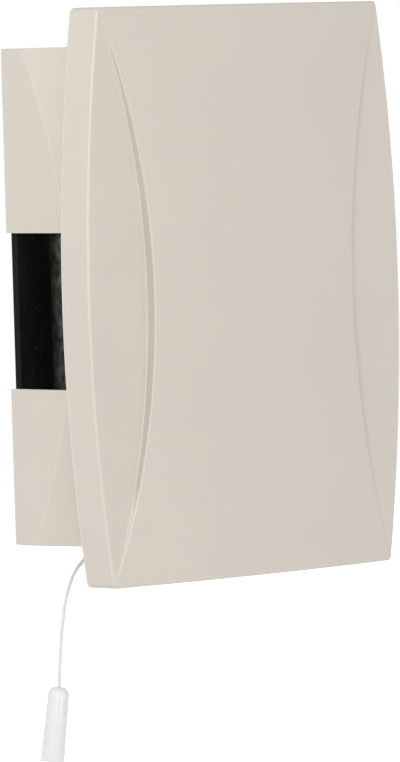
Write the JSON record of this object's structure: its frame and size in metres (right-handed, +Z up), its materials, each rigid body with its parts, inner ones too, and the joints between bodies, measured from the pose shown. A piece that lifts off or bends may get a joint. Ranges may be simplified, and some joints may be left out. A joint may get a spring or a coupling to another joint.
{
  "type": "doorbell chime box",
  "caption": "Wall-hung doorbell chime box with a bowed pull-off cover, struck steel tone plates inside and a pull cord switch underneath.",
  "frame": {"origin": "on the wall plane, at the middle of the box's back", "axes": "+X to the right as a person faces the box, +Y into the wall, +Z up"},
  "size_m": [0.1518, 0.0583, 0.2625],
  "materials": {
    "cover_plastic": "fine satin moulded plastic",
    "black_plastic": "satin black moulded plastic",
    "tone_steel": "rolled and ground steel",
    "zinc_screw": "bright zinc",
    "rubber": "soft black rubber",
    "yoke_steel": "zinc plated pressed steel",
    "bobbin_plastic": "natural nylon",
    "copper": "enamelled copper wire",
    "brass": "bright brass",
    "core_steel": "turned steel",
    "striker_nylon": "natural nylon",
    "spring_steel": "spring wire",
    "terminal_plastic": "pale moulded plastic",
    "lead_red": "soft wire covering",
    "lead_blue": "soft wire covering",
    "switch_plastic": "pale grey moulded plastic",
    "switch_black": "black moulded plastic",
    "guide_white": "white nylon",
    "cord": "pale braided string",
    "knob_white": "white moulded plastic"
  },
  "bodies": {
    "base": {"base_tray": "black_plastic", "tone_plate_high": "tone_steel", "tone_plate_low": "tone_steel", "plate_grommets": "rubber", "plate_screws": "zinc_screw", "solenoid_yoke": "yoke_steel", "yoke_screws": "zinc_screw", "coil_bobbin": "bobbin_plastic", "coil_winding": "copper", "coil_pins": "brass", "plunger_sleeve": "brass", "plunger_spring": "spring_steel", "terminal_block": "terminal_plastic", "terminal_plates": "brass", "terminal_screws": "zinc_screw", "block_screws": "zinc_screw", "cable_grommet": "rubber", "coil_leads": "lead_red", "switch_leads": "lead_blue", "switch_body": "switch_plastic", "switch_lid": "switch_plastic", "lid_screws": "zinc_screw", "switch_screws": "zinc_screw", "lever_pin": "core_steel", "fixed_contacts": "brass", "slider_spring": "spring_steel", "cord_guide": "guide_white"},
    "cover": {"front_shield": "cover_plastic", "case_hood": "cover_plastic", "shield_screws": "zinc_screw"},
    "plunger": {"plunger_core": "core_steel", "striker_high": "striker_nylon", "striker_low": "striker_nylon", "plunger_clip": "spring_steel"},
    "pull": {"pull_slider": "switch_black", "pull_cord": "cord", "pull_knob": "knob_white"},
    "switch_lever": {"contact_lever": "switch_black", "contact_bridge": "brass"}
  },
  "joints": [
    {"name": "cover_pull_off", "type": "slide", "parent": "base", "child": "cover", "axis": [0, -1, 0], "range_m": [0, 0.06]},
    {"name": "plunger_strike", "type": "slide", "parent": "base", "child": "plunger", "axis": [1, 0, 0], "range_m": [-0.006, 0.0015], "stiffness_N_per_m": 80, "deforming": ["plunger_spring"]},
    {"name": "cord_pull", "type": "slide", "parent": "base", "child": "pull", "axis": [0, 0, -1], "range_m": [0, 0.0055], "stiffness_N_per_m": 400, "springref_m": -0.002, "deforming": ["slider_spring"]},
    {"name": "lever_turn", "type": "hinge", "parent": "base", "child": "switch_lever", "pos_m": [-0.036, -0.02, -0.06425], "axis": [0, -1, 0], "range_deg": [0, 30.85]}
  ],
  "couplings": [
    {"joint": "lever_turn", "follows": "cord_pull", "rad_per_m": 97.588}
  ]
}
